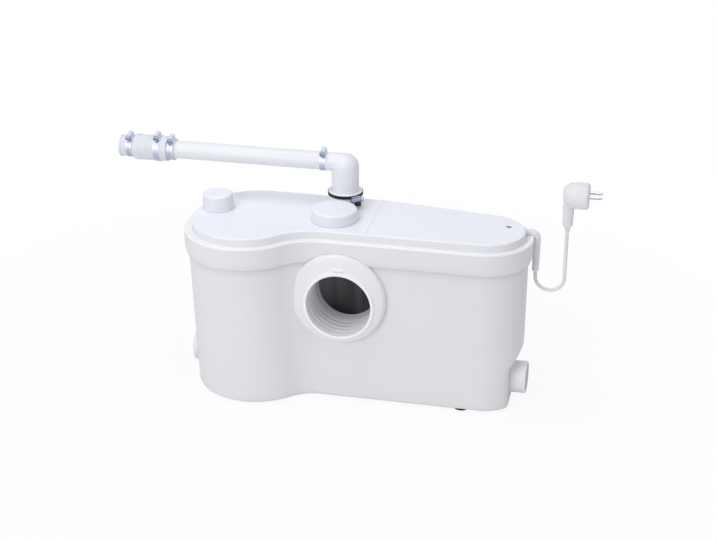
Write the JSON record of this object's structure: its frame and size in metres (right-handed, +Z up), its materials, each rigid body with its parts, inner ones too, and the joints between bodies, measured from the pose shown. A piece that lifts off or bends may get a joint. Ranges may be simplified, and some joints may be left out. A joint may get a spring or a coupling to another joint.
{
  "type": "macerator toilet pump",
  "caption": "Waisted white tank with a round pan inlet, side inlets, a grinder pump under its lid and a swivelling top discharge pipe, for pumping away toilet waste.",
  "frame": {"origin": "on the floor, under the middle of the part's bounding box without the mains lead", "axes": "+X along the tank toward the mains lead, +Y away from the pan, +Z up"},
  "size_m": [0.76, 0.2265, 0.3781],
  "materials": {
    "abs_white": "injection moulded, satin gloss",
    "pipe_white": "extruded, smooth",
    "rubber_white": "moulded, matte",
    "rubber_black": "moulded, matte",
    "plastic_black": "injection moulded, matte",
    "plastic_grey": "injection moulded, matte",
    "pvc_white": "extruded soft vinyl",
    "clamp_steel": "rolled stainless strip",
    "clamp_black": "black coated strip",
    "machined_steel": "turned",
    "laminated_steel": "stacked lamination, varnished",
    "cast_zinc": "die cast",
    "plated_brass": "nickel plated",
    "charcoal": "activated carbon felt"
  },
  "bodies": {
    "pump": {"tank": "abs_white", "main_cover": "abs_white", "motor_cover": "abs_white", "electrics_tray": "abs_white", "inlet_collar": "abs_white", "side_inlet_right": "abs_white", "side_inlet_left": "abs_white", "inlet_sleeve": "rubber_white", "discharge_sleeve": "rubber_white", "cover_gasket": "rubber_black", "side_inlet_seals": "rubber_black", "rubber_feet": "rubber_black", "shaft_seal": "rubber_black", "top_inlet_seal": "rubber_black", "inlet_baffle": "plastic_black", "motor_housing": "plastic_black", "volute": "plastic_black", "discharge_riser": "plastic_black", "pressure_switch": "plastic_black", "microswitch": "plastic_black", "air_bell": "plastic_black", "capacitor": "plastic_grey", "terminal_block": "plastic_grey", "cord_gland": "pvc_white", "power_cord": "pvc_white", "plug_body": "pvc_white", "discharge_clamp": "clamp_black", "motor_cover_screw": "machined_steel", "cover_screws": "machined_steel", "side_flap_pins": "machined_steel", "motor_bearings": "machined_steel", "suction_plate": "machined_steel", "pump_screws": "machined_steel", "grinder_ring": "machined_steel", "check_flap_pin": "machined_steel", "stator": "laminated_steel", "motor_end_plate": "cast_zinc", "plug_pins": "plated_brass", "vent_filter": "charcoal"},
    "rotor": {"shaft": "machined_steel", "rotor_core": "laminated_steel", "impeller": "plastic_black", "grinder_blade": "machined_steel", "grinder_nut": "machined_steel"},
    "discharge": {"discharge_elbow": "abs_white", "discharge_pipe": "pipe_white", "pipe_coupling": "rubber_white", "pipe_clamps": "clamp_steel", "coupling_clamps": "clamp_steel"},
    "vent_cap": {"vent_cap": "abs_white"},
    "top_inlet_cap": {"top_inlet_cap": "abs_white"},
    "side_flap_right": {"side_flap_right": "rubber_black"},
    "side_flap_left": {"side_flap_left": "rubber_black"},
    "check_flap": {"check_flap": "rubber_black"},
    "switch_plunger": {"pressure_plunger": "plastic_grey"},
    "pipe_screw_right": {"pipe_clamp_screw_right": "clamp_steel"},
    "pipe_screw_left": {"pipe_clamp_screw_left": "clamp_steel"},
    "coupling_screw_right": {"coupling_screw_right": "clamp_steel"},
    "coupling_screw_left": {"coupling_screw_left": "clamp_steel"},
    "neck_clamp_screw": {"discharge_clamp_screw": "clamp_steel"}
  },
  "joints": [
    {"name": "rotor_spin", "type": "hinge", "parent": "pump", "child": "rotor", "pos_m": [0.1765, 0.02125, 0.1], "axis": [0, 0, 1], "continuous": true},
    {"name": "discharge_swivel", "type": "hinge", "parent": "pump", "child": "discharge", "pos_m": [0.0315, 0.07525, 0.32], "axis": [0, 0, 1], "range_deg": [-150, 140]},
    {"name": "vent_cap_turn", "type": "hinge", "parent": "pump", "child": "vent_cap", "pos_m": [0.0295, 0.00735, 0.29], "axis": [0, 0, 1], "range_deg": [0, 60]},
    {"name": "top_inlet_cap_lift", "type": "slide", "parent": "pump", "child": "top_inlet_cap", "axis": [0, 0, 1], "range_m": [0, 0.018]},
    {"name": "side_flap_right_swing", "type": "hinge", "parent": "pump", "child": "side_flap_right", "pos_m": [0.2876, 0.01725, 0.071], "axis": [0, 1, 0], "range_deg": [0, 70]},
    {"name": "side_flap_left_swing", "type": "hinge", "parent": "pump", "child": "side_flap_left", "pos_m": [-0.1566, 0.01725, 0.071], "axis": [0, -1, 0], "range_deg": [0, 70]},
    {"name": "check_flap_swing", "type": "hinge", "parent": "pump", "child": "check_flap", "pos_m": [0.0315, 0.09175, 0.2608], "axis": [-1, 0, 0], "range_deg": [0, 60]},
    {"name": "switch_plunger_slide", "type": "slide", "parent": "pump", "child": "switch_plunger", "axis": [0, 0, 1], "range_m": [0, 0.0025], "stiffness_N_per_m": 300, "springref_m": -0.001},
    {"name": "pipe_screw_right_turn", "type": "hinge", "parent": "discharge", "child": "pipe_screw_right", "pos_m": [-0.0025, 0.07041, 0.36706], "axis": [0, -0.9659, -0.2588], "continuous": true},
    {"name": "pipe_screw_left_turn", "type": "hinge", "parent": "discharge", "child": "pipe_screw_left", "pos_m": [-0.2478, 0.06984, 0.36919], "axis": [0, -0.9659, -0.2588], "continuous": true},
    {"name": "coupling_screw_right_turn", "type": "hinge", "parent": "discharge", "child": "coupling_screw_right", "pos_m": [-0.27, 0.06899, 0.37238], "axis": [0, -0.9659, -0.2588], "continuous": true},
    {"name": "coupling_screw_left_turn", "type": "hinge", "parent": "discharge", "child": "coupling_screw_left", "pos_m": [-0.316, 0.06984, 0.36919], "axis": [0, -0.9659, -0.2588], "continuous": true},
    {"name": "neck_clamp_screw_turn", "type": "hinge", "parent": "pump", "child": "neck_clamp_screw", "pos_m": [0.05356, 0.05319, 0.2975], "axis": [0.7071, 0.7071, 0], "continuous": true}
  ]
}
